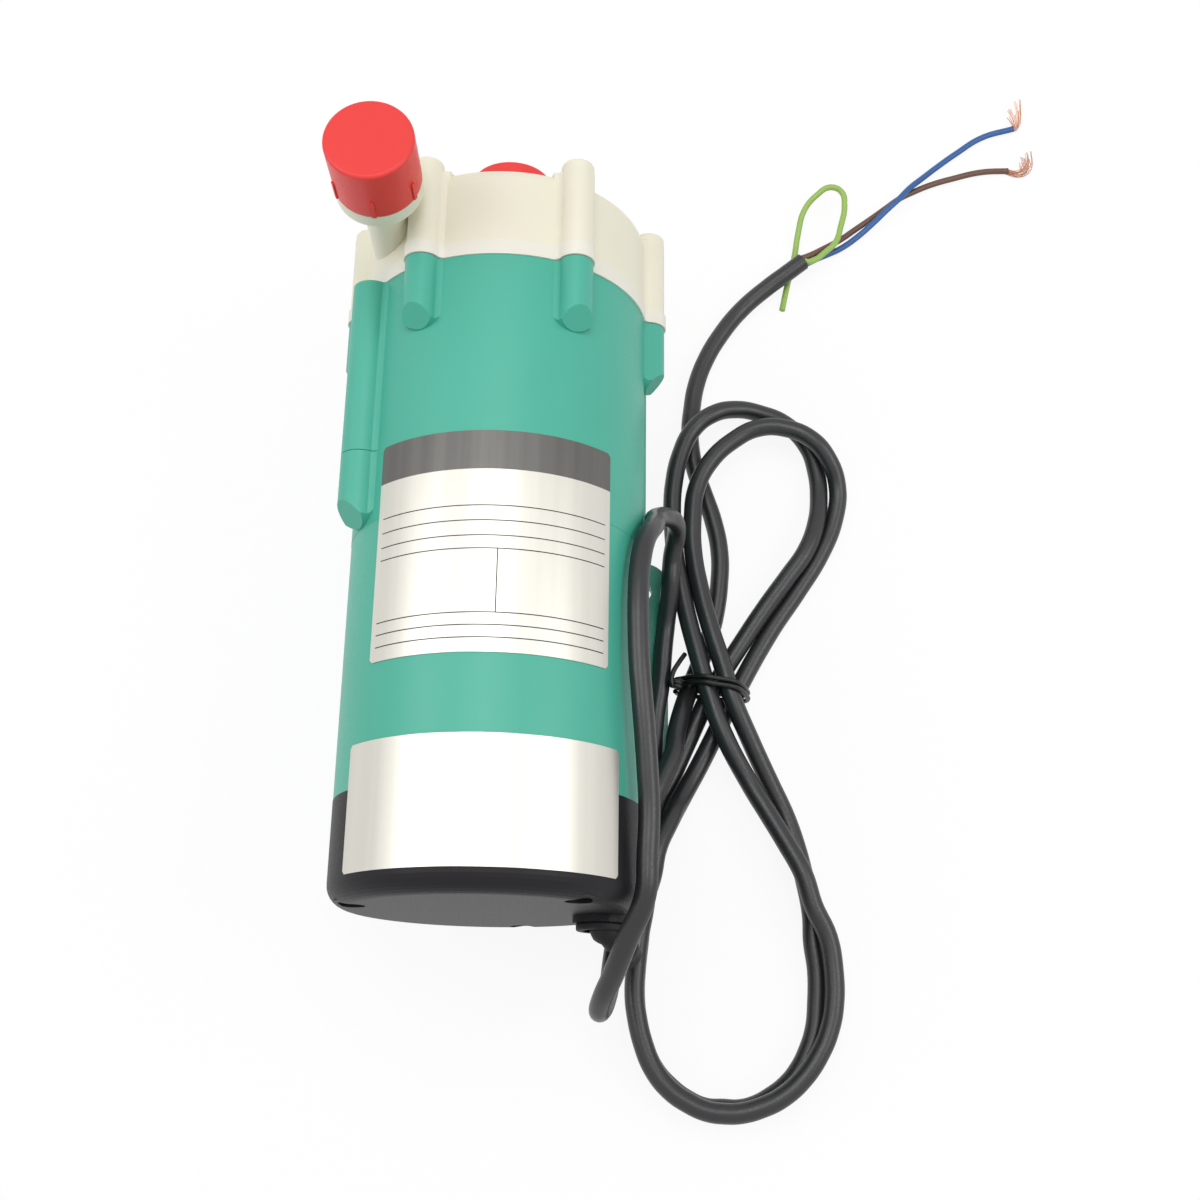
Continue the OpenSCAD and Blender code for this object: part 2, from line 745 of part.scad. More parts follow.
module bearing_inner_rings() {
    color("silver") for_each_bearing() difference() {
        ring(shaft_r + slip / 2, shaft_r + ring_t, 0, bearing_w);
        race_groove();
    }
}

module bearing_balls() {
    color("white") for_each_bearing() for (i = [0:ball_n - 1])
        at_angle(360 * i / ball_n, ball_rc, bearing_w / 2) sphere(ball_r);
}

module stator_slot(grow) {
    mouth = 2;
    w = 2 * PI * (stator_bore + mouth) / slot_n * 0.55;
    translate([stator_bore + mouth - grow, -w / 2 - grow])
        square([slot_depth - mouth + 2 * grow, w + 2 * grow]);
}

module stator_core() {
    color("lightsteelblue") difference() {
        ring(stator_bore, stator_r, stator_y0, stator_y1);
        for (i = [0:slot_n - 1]) on_axis(stator_y0 - 1) rotate([0, 0, 360 * i / slot_n])
            linear_extrude(stator_len + 2) {
                stator_slot(0);
                translate([stator_bore - 1, -slot_open / 2]) square([4, slot_open]);
            }
    }
}

module stator_windings() {
    r0 = stator_bore + 2 + winding_gap;
    r1 = stator_bore + slot_depth - winding_gap;
    color("peru") {
        ring(r0, r1, stator_y1, stator_y1 + winding_front);
        ring(r0, r1, stator_y0 - winding_rear, stator_y0);
        for (i = [0:slot_n - 1]) on_axis(stator_y0 - eps) rotate([0, 0, 360 * i / slot_n])
            linear_extrude(stator_len + 2 * eps) stator_slot(-winding_gap);
    }
}

module front_end_shield() {
    y0 = shield_y1 - shield_t;
    color("lightgray") difference() {
        union() {
            ring(stator_r - shield_rim_t, stator_r, stator_y1, y0 + 1);
            disc(stator_r, y0, shield_y1);
            disc(shield_boss_r, front_bearing_y0, front_bearing_y0 + bearing_w + pocket_wall);
        }
        disc(bearing_r + slip, front_bearing_y0 - 1, front_bearing_y0 + bearing_w);
        disc(shaft_hole_r, front_bearing_y0, shield_y1 + 10);
    }
}

module rear_end_shield() {
    color("lightgray") difference() {
        union() {
            ring(stator_r - shield_rim_t, stator_r, rear_shield_y0 + 1, stator_y0);
            disc(stator_r, rear_shield_y0, rear_shield_y0 + shield_t);
            disc(shield_boss_r, rear_bearing_y0 - pocket_wall, rear_bearing_y0 + bearing_w);
        }
        disc(bearing_r + slip, rear_bearing_y0, rear_bearing_y0 + bearing_w + 1);
    }
}

module motor_housing() {
    tie_y0 = seam_y - tie_tail_len;
    color("mediumseagreen") difference() {
        union() {
            difference() {
                union() {
                    disc(body_r - housing_step, housing_y0, tie_y0 + 1);
                    disc(body_r, tie_y0, seam_y);
                    for (a = tie_angles) tailed_boss(a, tie_rc, tie_boss_r, tie_y0, seam_y - relief);
                }
                disc(bore_r, housing_y0 - 1, seam_y + 1);
            }
            for (a = boss_angles) stator_rib(a);
            for (a = post_angles) cover_post(a, post_r, housing_y0, housing_y0 + post_len);
            for (s = [-1, 1]) base_boss(s * base_screw_dy / 2);
        }
        for (a = tie_angles)
            at_angle(a, tie_rc, seam_y - tie_thread_len - 1)
                cylinder(d = tie_bolt_d + 2 * slip, h = tie_thread_len + 2);
        for (a = post_angles)
            at_angle(a, post_rc, housing_y0 - 1) cylinder(d = casing_screw_d + 2 * slip, h = post_len);
        for (s = [-1, 1])
            translate([0, s * base_screw_dy / 2, 0]) cylinder(r = base_screw_r + slip, h = axis_h / 2);
    }
}

// Ribs inside the housing that grip the stator
module stator_rib(a) {
    rib_w = 5;
    r0 = stator_r + stator_slip;
    intersection() {
        ring(r0, body_r - 1, stator_y0, stator_y1);
        at_angle(a, r0 - 2, stator_y0) translate([0, -rib_w / 2, 0]) cube([body_r - r0, rib_w, stator_len]);
    }
}

// A screw post that grows out of the shell's wall
module cover_post(a, r, y0, y1) {
    intersection() {
        at_angle(a, post_rc, y0) cylinder(r = r, h = y1 - y0);
        disc(body_r - 1, y0, y1);
    }
}

module base_boss(y) {
    wall_z = axis_h - body_r + 1;
    translate([0, y, wall_z]) cylinder(r = base_boss_r, h = base_boss_top - wall_z);
}

module tie_bolts() {
    head_y0 = flange_y0 - tie_head_depth;
    tip_y = seam_y - tie_thread_len;
    color("silver") for (a = tie_angles) {
        at_angle(a, tie_rc, tip_y) cylinder(d = tie_bolt_d, h = head_y0 - tip_y + eps);
        at_angle(a, tie_rc, head_y0) screw_head(tie_head_r, tie_head_h);
    }
}

module rear_cover() {
    inner_r = body_r - cover_t;
    inner_y0 = cover_y0 + cover_back_t;
    inner_round = cover_round - cover_t;
    seat_y = housing_y0 - cover_seat_t;
    color("#2a282c") difference() {
        union() {
            difference() {
                revolve(concat([[0, housing_y0], [body_r, housing_y0]],
                    arc([body_r - cover_round, cover_y0 + cover_round], cover_round, 0, -90),
                    [[0, cover_y0]]));
                revolve(concat([[0, housing_y0 + 1], [inner_r, housing_y0 + 1]],
                    arc([inner_r - inner_round, inner_y0 + inner_round], inner_round, 0, -90),
                    [[0, inner_y0]]));
            }
            cover_lip();
            for (a = post_angles) intersection() {
                at_angle(a, post_rc, cover_y0 + 1) cylinder(r = cover_post_r, h = cover_len - 1 - relief);
                disc(body_r - 1, cover_y0 + 1, housing_y0);
            }
            gland_wall();
        }
        for (a = post_angles) {
            at_angle(a, post_rc, cover_y0 - 1)
                cylinder(d = casing_screw_d + 2 * screw_clear, h = cover_len + 2);
            at_angle(a, post_rc, cover_y0 - 1) cylinder(r = cover_bore_r, h = seat_y - cover_y0 + 1);
        }
        translate([gland_x, cover_y0 - 2 * gland_boss_out, gland_z]) rotate([-90, 0, 0])
            cylinder(r = gland_hole_r, h = cover_len);
    }
}

// A lip centres the cover in the housing and is cut away at the housing's posts
module cover_lip() {
    difference() {
        ring(spigot_r - cover_lip_t, spigot_r, housing_y0 - cover_lip_len, housing_y0 + cover_lip_len);
        for (a = post_angles)
            at_angle(a, post_rc, housing_y0) cylinder(r = post_r + lip_cut, h = cover_lip_len + 1);
    }
    ring(spigot_r - cover_lip_t, body_r - cover_t + 0.5, housing_y0 - cover_lip_len, housing_y0);
}

module gland_wall() {
    translate([gland_x, cover_y0 - gland_boss_out, gland_z]) rotate([-90, 0, 0])
        cylinder(r = gland_boss_r, h = gland_boss_out + gland_boss_in);
}

module cover_screws() {
    seat_y = housing_y0 - cover_seat_t;
    color("silver") for (a = post_angles) {
        at_angle(a, post_rc, seat_y - eps) cylinder(d = casing_screw_d, h = cover_seat_t + post_len - 2);
        at_angle(a, post_rc, seat_y) mirror([0, 0, 1]) screw_head(cover_screw_head_r, cover_screw_head_h);
    }
}

module capacitor() {
    w = capacitor_size[0];
    h = capacitor_size[2];
    x = capacitor_corner[0] + w / 2;
    z = axis_h + capacitor_corner[1] + h / 2;
    color("whitesmoke") translate([x, cover_y0 + cover_back_t, z]) rotate([-90, 0, 0])
        linear_extrude(capacitor_size[1]) round_rect(w, h, capacitor_round);
}

// The grommet grips the cover's wall and runs out into a curved strain relief
module cord_grommet() {
    wall_y0 = cover_y0 - gland_boss_out;
    wall_y1 = cover_y0 + gland_boss_in;
    color("#1c1c1e") {
        translate([gland_x, wall_y0 - grommet_flange_t, gland_z]) rotate([-90, 0, 0]) {
            cylinder(r = grommet_flange_r, h = grommet_flange_t);
            cylinder(r = gland_hole_r - running, h = wall_y1 - wall_y0 + 2 * grommet_flange_t);
            translate([0, 0, wall_y1 - wall_y0 + grommet_flange_t])
                cylinder(r = grommet_flange_r, h = grommet_flange_t);
        }
        translate([gland_x - boot_route[0][0], wall_y0 - boot_route[0][1], gland_z - boot_route[0][2]])
            tube(boot_route, boot_r);
    }
}

// Base
module mounting_base() {
    color("mediumseagreen") difference() {
        union() {
            linear_extrude(base_t) round_rect(base_w, base_l, base_corner_r);
            translate([0, cradle_len / 2, 0]) rotate([90, 0, 0]) linear_extrude(cradle_len)
                polygon([[-cradle_foot_w / 2, base_t - 1], [cradle_foot_w / 2, base_t - 1],
                    [cradle_foot_w / 2, base_t], [cradle_top_w / 2, cradle_h], [-cradle_top_w / 2, cradle_h],
                    [-cradle_foot_w / 2, base_t]]);
        }
        disc(cradle_r, -base_l, base_l);
        for (s = [-1, 1]) tunnel(s);
        for (sx = [-1, 1]) for (sy = [-1, 1])
            translate([sx * slot_dx / 2, sy * slot_dy / 2, -1]) linear_extrude(axis_h / 2) slot_outline();
        for (sy = [-1, 1]) translate([0, sy * base_screw_dy / 2, -1]) {
            cylinder(r = base_screw_r + screw_clear, h = axis_h / 2);
            cylinder(r = base_head_r + screw_clear, h = base_head_h + 1);
        }
    }
}

module slot_outline() {
    straight = slot_l - slot_w;
    square([straight, slot_w], center = true);
    for (s = [-1, 1]) translate([s * straight / 2, 0]) circle(d = slot_w);
}

// A lengthwise hollow under the cradle, on each side of the middle web
module tunnel(side) {
    difference() {
        translate([side > 0 ? tunnel_x[0] : -tunnel_x[1], -base_l, base_t])
            cube([tunnel_x[1] - tunnel_x[0], 2 * base_l, cradle_h]);
        disc(cradle_r + cradle_floor_t, -2 * base_l, 2 * base_l);
    }
}

module base_screws() {
    color("silver") for (sy = [-1, 1]) translate([0, sy * base_screw_dy / 2, base_head_h]) {
        cylinder(r = base_screw_r, h = base_boss_top - base_head_h - 0.3);
        mirror([0, 0, 1]) screw_head(base_head_r, base_head_h - 0.4);
    }
}

// Port caps, each a cup with short ribs round the rim
module port_cap() {
    color("red") {
        rotate_extrude() polygon(concat([[cap_in_r, 0], [cap_r, 0]],
            arc([cap_r - cap_round, cap_len - cap_round], cap_round, 0, 90, 5),
            [[0, cap_len], [0, cap_len - cap_t], [cap_in_r, cap_len - cap_t]]));
        for (a = [30:60:330]) rotate([0, 0, a]) translate([cap_r - 0.5, -cap_rib[1] / 2, 0])
            cube([cap_rib[2] + 0.5, cap_rib[1], cap_rib[0]]);
    }
}

module discharge_cap() {
    translate([-discharge_x, discharge_y, axis_h + collar_h + cap_lift]) port_cap();
}

module suction_cap() {
    on_axis(casing_y1 + suction_boss_h + cap_lift) port_cap();
}

// Cord
module power_cord() {
    color("#2b2b2d") tube(lead_route, cord_r);
}

module cord_loop() {
    color("#2b2b2d") tube(loop_route, cord_r);
}

module cord_tail() {
    color("#2b2b2d") tube(tail_route, cord_r);
}

// Outer shape of the two turns of the tied figure of eight
module cord_hank() {
    color("#2b2b2d") translate([0, 0, hank_z0]) linear_extrude(hank_h) {
        lobe(upper_lobe, upper_lobe_r);
        lobe(lower_lobe, lower_lobe_r);
    }
}

module lobe(centre, r) {
    crotch = tie_at + 0.3 * (centre - tie_at);
    difference() {
        wrapped(centre, r, tie_at, hank_waist_r);
        wrapped(centre, r - hank_band, crotch, 1);
    }
}

module core_brown() {
    color("saddlebrown") tube(brown_route, core_d / 2);
}

module core_blue() {
    color("royalblue") tube(blue_route, core_d / 2);
}

module core_earth() {
    color("yellowgreen") tube(earth_route, core_d / 2);
}

// A wire tie round the waist of the hank
module cord_tie() {
    w = 2 * hank_waist_r + 0.6;
    h = hank_h + 0.6;
    color("black") translate([tie_at[0], tie_at[1], hank_z0 + hank_h / 2]) rotate([0, 0, tie_turn])
        rotate([90, 0, 0]) translate([0, 0, -1.5]) linear_extrude(3) difference() {
            round_rect(w + 2 * tie_wire, h + 2 * tie_wire, 3);
            round_rect(w, h, 2);
        }
}

front_casing();
suction_nozzle();
discharge_nozzle();
rear_casing();
o_ring();
casing_screws();
impeller();
magnet_capsule();
magnet_lid();
inner_magnet();
impeller_bush();
spindle();
front_thrust_ring();
rear_thrust_ring();
bracket();
drive_hub();
drive_magnets();
hub_set_screw();
motor_shaft();
rotor_core();
bearing_outer_rings();
bearing_inner_rings();
bearing_balls();
stator_core();
stator_windings();
front_end_shield();
rear_end_shield();
motor_housing();
tie_bolts();
rear_cover();
cover_screws();
capacitor();
cord_grommet();
mounting_base();
base_screws();
discharge_cap();
suction_cap();
power_cord();
cord_loop();
cord_hank();
cord_tail();
core_brown();
core_blue();
core_earth();
cord_tie();
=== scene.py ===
"""Looks of a magnetic drive pump: moulded shells, label patches, port caps and a tied mains cord."""

import math

import bpy
from mathutils import Matrix, Vector


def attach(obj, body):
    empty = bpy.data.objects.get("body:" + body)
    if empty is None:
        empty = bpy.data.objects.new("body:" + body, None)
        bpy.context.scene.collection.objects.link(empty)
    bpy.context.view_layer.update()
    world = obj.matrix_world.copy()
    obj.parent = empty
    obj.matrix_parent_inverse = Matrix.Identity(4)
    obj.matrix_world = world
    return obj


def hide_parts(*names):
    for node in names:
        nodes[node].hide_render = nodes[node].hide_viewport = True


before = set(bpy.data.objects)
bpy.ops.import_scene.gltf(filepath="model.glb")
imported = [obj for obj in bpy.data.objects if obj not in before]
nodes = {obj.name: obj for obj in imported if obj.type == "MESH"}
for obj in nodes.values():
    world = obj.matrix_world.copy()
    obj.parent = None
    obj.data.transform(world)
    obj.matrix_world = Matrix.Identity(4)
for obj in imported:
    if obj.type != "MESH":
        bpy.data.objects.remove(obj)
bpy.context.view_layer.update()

MM = 0.001
SHAFT_Z = 0.058
BODY_R = 0.044


def mm(*values):
    return Vector(values) * MM


# Materials

# Places of the colour sockets on a Mix node: its three inputs and its result
SHARE, FIRST, SECOND, MIXED = 0, 6, 7, 2

# Where most values of a noise texture lie
NOISE_LOW, NOISE_HIGH = 0.3, 0.7


def linear(code):
    """An sRGB hex colour as linear RGBA."""
    parts = [int(code[i : i + 2], 16) / 255 for i in (1, 3, 5)]
    return [c / 12.92 if c <= 0.04045 else ((c + 0.055) / 1.055) ** 2.4 for c in parts] + [1.0]


def put(mat, kind, inputs=None, **settings):
    """Adds one node with its settings. Its inputs take numbers, colours or other nodes' sockets."""
    made = mat.node_tree.nodes.new(kind)
    for key, value in settings.items():
        setattr(made, key, value)
    for key, value in (inputs or {}).items():
        if isinstance(value, bpy.types.NodeSocket):
            mat.node_tree.links.new(value, made.inputs[key])
        else:
            made.inputs[key].default_value = value
    return made


def start_material(name):
    mat = bpy.data.materials.new(name)
    mat.use_nodes = True
    return mat, mat.node_tree.nodes["Principled BSDF"]


def feed(mat, socket, target):
    mat.node_tree.links.new(socket, target)


def moulded(name, light, dark, rough, grain_mm, depth_mm, patch_mm=35, soft=0.0, shine=0.5):
    """Injection moulded plastic: even colour with faint flow patches, and the fine grain of the mould.

    The grain is drawn coarser than a real mould's, so that it shows.
    """
    mat, shader = start_material(name)
    place = put(mat, "ShaderNodeTexCoord").outputs["Object"]
    patch = put(mat, "ShaderNodeTexNoise", {"Vector": place, "Scale": 1 / (patch_mm * MM), "Detail": 3.0})
    grain = put(mat, "ShaderNodeTexNoise", {"Vector": place, "Scale": 1 / (grain_mm * MM), "Detail": 2.0})
    tint = put(
        mat,
        "ShaderNodeMix",
        {SHARE: patch.outputs["Fac"], FIRST: linear(dark), SECOND: linear(light)},
        data_type="RGBA",
    )
    gloss = put(
        mat,
        "ShaderNodeMapRange",
        {
            "Value": grain.outputs["Fac"],
            "From Min": NOISE_LOW,
            "From Max": NOISE_HIGH,
            "To Min": rough - 0.05,
            "To Max": rough + 0.07,
        },
    )
    bump = put(
        mat,
        "ShaderNodeBump",
        {"Height": grain.outputs["Fac"], "Strength": 0.6, "Distance": depth_mm * MM},
    )
    feed(mat, tint.outputs[MIXED], shader.inputs["Base Color"])
    feed(mat, gloss.outputs[0], shader.inputs["Roughness"])
    feed(mat, bump.outputs[0], shader.inputs["Normal"])
    shader.inputs["IOR"].default_value = 1.5
    shader.inputs["Specular IOR Level"].default_value = shine
    if soft:
        shader.inputs["Subsurface Weight"].default_value = soft
        shader.inputs["Subsurface Radius"].default_value = (0.004, 0.003, 0.002)
        shader.inputs["Subsurface Scale"].default_value = 0.4
    return mat


def worked_metal(name, light, dark, rough, stretch, line_mm):
    """Turned, drawn or cast metal: fine lines or grit along one direction break up the reflection.

    The lines are drawn coarser than tool marks are, so that they show.
    """
    mat, shader = start_material(name)
    place = put(mat, "ShaderNodeTexCoord").outputs["Object"]
    turned = put(mat, "ShaderNodeMapping", {"Vector": place, "Scale": stretch})
    lines = put(
        mat,
        "ShaderNodeTexNoise",
        {"Vector": turned.outputs[0], "Scale": 1 / (line_mm * MM), "Detail": 3.0},
    )
    tint = put(
        mat,
        "ShaderNodeMix",
        {SHARE: lines.outputs["Fac"], FIRST: linear(dark), SECOND: linear(light)},
        data_type="RGBA",
    )
    gloss = put(
        mat,
        "ShaderNodeMapRange",
        {
            "Value": lines.outputs["Fac"],
            "From Min": NOISE_LOW,
            "From Max": NOISE_HIGH,
            "To Min": rough - 0.08,
            "To Max": rough + 0.1,
        },
    )
    bump = put(
        mat,
        "ShaderNodeBump",
        {"Height": lines.outputs["Fac"], "Strength": 0.3, "Distance": 0.05 * MM},
    )
    feed(mat, tint.outputs[MIXED], shader.inputs["Base Color"])
    feed(mat, gloss.outputs[0], shader.inputs["Roughness"])
    feed(mat, bump.outputs[0], shader.inputs["Normal"])
    shader.inputs["Metallic"].default_value = 1.0
    return mat


# Label print, in millimetres: half the width of a rule, and how far the rules stay from the sides
RULE_HALF = 0.16
FIELD_INSET = 2
STREAK_MM = 7


def print_grid(mat, ground, streak, sides, head_y, rules, divider):
    """Prints a dark head band and a ruled grid on a sheet that lies round the body.

    The sides are degrees round the shaft. Head band and rules are places along it in millimetres,
    and the divider is a place round the body with its two ends along it.
    """
    place = put(mat, "ShaderNodeTexCoord").outputs["Object"]
    part = put(mat, "ShaderNodeSeparateXYZ", {0: place})
    up = put(mat, "ShaderNodeMath", {0: part.outputs["Z"], 1: SHAFT_Z}, operation="SUBTRACT")
    angle = put(mat, "ShaderNodeMath", {0: up.outputs[0], 1: part.outputs["X"]}, operation="ARCTAN2")
    round_mm = put(mat, "ShaderNodeMath", {0: angle.outputs[0], 1: BODY_R / MM}, operation="MULTIPLY")
    arc = round_mm.outputs[0]
    along = put(mat, "ShaderNodeMath", {0: part.outputs["Y"], 1: MM}, operation="DIVIDE").outputs[0]

    head = put(mat, "ShaderNodeMath", {0: along, 1: head_y}, operation="GREATER_THAN")
    band = put(
        mat,
        "ShaderNodeMix",
        {SHARE: streak, FIRST: linear("#403f3d"), SECOND: linear("#7c7a77")},
        data_type="RGBA",
    )
    banded = put(
        mat,
        "ShaderNodeMix",
        {SHARE: head.outputs[0], FIRST: ground, SECOND: band.outputs[MIXED]},
        data_type="RGBA",
    )

    middle, start, end = divider
    upright = put(mat, "ShaderNodeMath", {0: arc, 1: middle, 2: RULE_HALF}, operation="COMPARE")
    reach = put(
        mat,
        "ShaderNodeMath",
        {0: along, 1: (start + end) / 2, 2: (end - start) / 2},
        operation="COMPARE",
    )
    ink = put(mat, "ShaderNodeMath", {0: upright.outputs[0], 1: reach.outputs[0]}, operation="MULTIPLY")
    for y in rules:
        rule = put(mat, "ShaderNodeMath", {0: along, 1: y, 2: RULE_HALF}, operation="COMPARE")
        ink = put(mat, "ShaderNodeMath", {0: ink.outputs[0], 1: rule.outputs[0]}, operation="MAXIMUM")

    low, high = (math.radians(side) * BODY_R / MM for side in sides)
    field = put(
        mat,
        "ShaderNodeMath",
        {0: arc, 1: (low + high) / 2, 2: (high - low) / 2 - FIELD_INSET},
        operation="COMPARE",
    )
    ruled = put(mat, "ShaderNodeMath", {0: ink.outputs[0], 1: field.outputs[0]}, operation="MULTIPLY")
    marked = put(
        mat,
        "ShaderNodeMix",
        {SHARE: ruled.outputs[0], FIRST: banded.outputs[MIXED], SECOND: linear("#33312f")},
        data_type="RGBA",
    )
    return marked.outputs[MIXED]


def foil(name, **grid):
    """Satin silvered polyester: pale and half a mirror, with soft streaks along the body."""
    mat, shader = start_material(name)
    place = put(mat, "ShaderNodeTexCoord").outputs["Object"]
    flow = put(mat, "ShaderNodeMapping", {"Vector": place, "Scale": (1, 0.02, 1)})
    noise = put(
        mat,
        "ShaderNodeTexNoise",
        {"Vector": flow.outputs[0], "Scale": 1 / (STREAK_MM * MM), "Detail": 3.0},
    )
    streak = noise.outputs["Fac"]
    sheet = put(
        mat,
        "ShaderNodeMix",
        {SHARE: streak, FIRST: linear("#c2bfb6"), SECOND: linear("#e0ddd4")},
        data_type="RGBA",
    )
    colour = sheet.outputs[MIXED]
    if grid:
        colour = print_grid(mat, colour, streak, **grid)
    gloss = put(mat, "ShaderNodeMapRange", {"Value": streak, "To Min": 0.28, "To Max": 0.44})
    feed(mat, colour, shader.inputs["Base Color"])
    feed(mat, gloss.outputs[0], shader.inputs["Roughness"])
    shader.inputs["Metallic"].default_value = 0.65
    return mat


def striped(name, ground, stripe, stripe_from=0.62, grain_mm=0.8):
    """Two-coloured earth insulation: a stripe of the second colour lies along the core.

    The stripe takes the share of the round that is past stripe_from.
    """
    mat, shader = start_material(name)
    grid = put(mat, "ShaderNodeUVMap", uv_map="UVMap").outputs[0]
    part = put(mat, "ShaderNodeSeparateXYZ", {0: grid})
    band = put(mat, "ShaderNodeMath", {0: part.outputs["Y"], 1: stripe_from}, operation="GREATER_THAN")
    tint = put(
        mat,
        "ShaderNodeMix",
        {SHARE: band.outputs[0], FIRST: linear(ground), SECOND: linear(stripe)},
        data_type="RGBA",
    )
    place = put(mat, "ShaderNodeTexCoord").outputs["Object"]
    grain = put(mat, "ShaderNodeTexNoise", {"Vector": place, "Scale": 1 / (grain_mm * MM)})
    gloss = put(mat, "ShaderNodeMapRange", {"Value": grain.outputs["Fac"], "To Min": 0.34, "To Max": 0.5})
    feed(mat, tint.outputs[MIXED], shader.inputs["Base Color"])
    feed(mat, gloss.outputs[0], shader.inputs["Roughness"])
    return mat


# Plastics: name, light and dark colour, roughness, then the grain's width and depth in millimetres

# Green shell from a satin mould: one even colour and a soft, broad highlight along the round body
GREEN = moulded("satin green moulded shell", "#47ab95", "#3fa48d", 0.42, 0.7, 0.03)
# Undyed polypropylene: warm white and waxy, with soft edges because light enters it
IVORY = moulded("ivory polypropylene", "#e6e2cf", "#dddac6", 0.42, 0.9, 0.03, soft=0.12)
# The same plastic a shade whiter, as the ring between casing and bracket shows
WHITE = moulded("white polypropylene", "#e6e4da", "#dddacd", 0.42, 0.9, 0.03, soft=0.1)
# Cover from a spark-eroded mould: near black, with a dry grain that dulls the reflection
BLACK = moulded("black spark-textured cover", "#1d1b1f", "#171518", 0.45, 0.5, 0.05, shine=0.22)
# Polyethylene push-on caps: a full red with a waxy sheen
RED = moulded("red polyethylene", "#e23c38", "#da3431", 0.38, 0.8, 0.03, soft=0.08, shine=0.4)
# Extruded PVC sheath: smooth black with one long line of light on each run
JACKET = moulded("black soft PVC jacket", "#2a2a2c", "#212123", 0.34, 0.6, 0.03, patch_mm=18)
# Moulded rubber: dull and dark, with hardly a highlight
RUBBER = moulded("black rubber", "#222223", "#19191a", 0.6, 0.5, 0.04, shine=0.3)
# Plastic-coated wire: black, with a small glint on every turn
COATED = moulded("black coated tie wire", "#171718", "#101011", 0.36, 0.5, 0.02, shine=0.4)
# Extruded PVC insulation: a plain colour with a narrow, soft highlight
BROWN = moulded("brown PVC core", "#6a4a3c", "#5b3d31", 0.4, 0.6, 0.02, patch_mm=12)
BLUE = moulded("blue PVC core", "#2c5f9e", "#245290", 0.4, 0.6, 0.02, patch_mm=12)
# The same insulation in two colours, which change places as the core turns
EARTH = striped("green and yellow PVC core", "#92b556", "#b4c168")
# Ground alumina: pale and glossy, like unglazed china that was polished
CERAMIC = moulded("ground alumina ceramic", "#f0ede4", "#e6e2d6", 0.25, 0.4, 0.01)
# Pressed carbon: dark grey, with a faint even shine
CARBON = moulded("carbon bush", "#2a2a2b", "#1f1f20", 0.5, 0.3, 0.02)
# Sintered ferrite: charcoal and matt, with a coarse grain
FERRITE = moulded("sintered ferrite", "#3a393a", "#2c2b2c", 0.55, 0.6, 0.05)
# Moulded capacitor case: off-white, with a quiet sheen
FILM = moulded("capacitor case", "#dedcd2", "#d2d0c4", 0.4, 0.6, 0.02)
# Stacked sheet steel under varnish: blue grey and half dull
VARNISH = moulded("varnished lamination stack", "#6d7178", "#5b5f66", 0.45, 0.5, 0.05)

# Metals: name, light and dark colour, roughness, stretch along x, y and z, then the lines' width in
# millimetres

# Zinc plated steel: bright and cool, with fine lines along the shaft
STEEL = worked_metal("zinc plated steel", "#cfd0d2", "#b3b5b8", 0.3, (1, 0.2, 1), 0.4)
# Die cast aluminium: dull silver with an even grit
CAST = worked_metal("die cast aluminium", "#c2c4c7", "#a3a6aa", 0.45, (1, 1, 1), 0.6)
# Drawn copper wire: pale pinkish brown with glints
COPPER = worked_metal("bare copper wire", "#d8a083", "#c68e72", 0.3, (1, 1, 1), 0.3)

# Labels: ends along the shaft in millimetres, and sides round it in degrees from the right
PLATE_ENDS = (-23.2, 41.4)
PLATE_SIDES = (40.6, 136.0)
STICKER_ENDS = (-79.8, -45.0)
STICKER_SIDES = (33.3, 145.0)

# Foil with a dark head band and thin rules, which keep the silver streaks of the sheet
PLATE_FOIL = foil(
    "printed foil plate",
    sides=PLATE_SIDES,
    head_y=29.7,
    rules=(18.8, 14.4, 10.0, 6.2, -12.1, -15.6, -19.1),
    divider=(66.0, -12.1, 6.2),
)
# The same foil left blank: nothing but its streaks
BLANK_FOIL = foil("blank foil sticker")

FINISH = {
    GREEN: ["bracket", "motor_housing", "mounting_base"],
    IVORY: ["front_casing", "suction_nozzle", "discharge_nozzle", "impeller", "magnet_capsule", "magnet_lid"],
    WHITE: ["rear_casing"],
    BLACK: ["rear_cover"],
    RED: ["discharge_cap", "suction_cap"],
    RUBBER: ["o_ring", "cord_grommet"],
    JACKET: ["power_cord", "cord_loop", "cord_hank", "cord_tail"],
    BROWN: ["core_brown"],
    BLUE: ["core_blue"],
    EARTH: ["core_earth"],
    COATED: ["cord_tie"],
    CERAMIC: ["spindle", "front_thrust_ring", "rear_thrust_ring"],
    CARBON: ["impeller_bush"],
    FERRITE: ["inner_magnet", "drive_magnets"],
    FILM: ["capacitor"],
    VARNISH: ["stator_core", "rotor_core"],
    CAST: ["front_end_shield", "rear_end_shield"],
    COPPER: ["stator_windings"],
    STEEL: [
        "casing_screws",
        "drive_hub",
        "hub_set_screw",
        "motor_shaft",
        "bearing_outer_rings",
        "bearing_inner_rings",
        "bearing_balls",
        "tie_bolts",
        "cover_screws",
        "base_screws",
    ],
}


def paint(piece, mat):
    piece.data.materials.clear()
    piece.data.materials.append(mat)


for mat, names in FINISH.items():
    for name in names:
        paint(nodes[name], mat)


# Shared ways of working

SMOOTH_ANGLE = math.radians(40)


def clear_selection():
    bpy.ops.object.select_all(action="DESELECT")


def settle(piece, name, mat, body):
    """Finishes a piece: its place goes into its mesh, and it gets its name, finish and body."""
    clear_selection()
    piece.select_set(True)
    bpy.context.view_layer.objects.active = piece
    bpy.ops.object.transform_apply(location=True, rotation=True, scale=True)
    piece.name = name
    paint(piece, mat)
    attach(piece, body)
    return piece


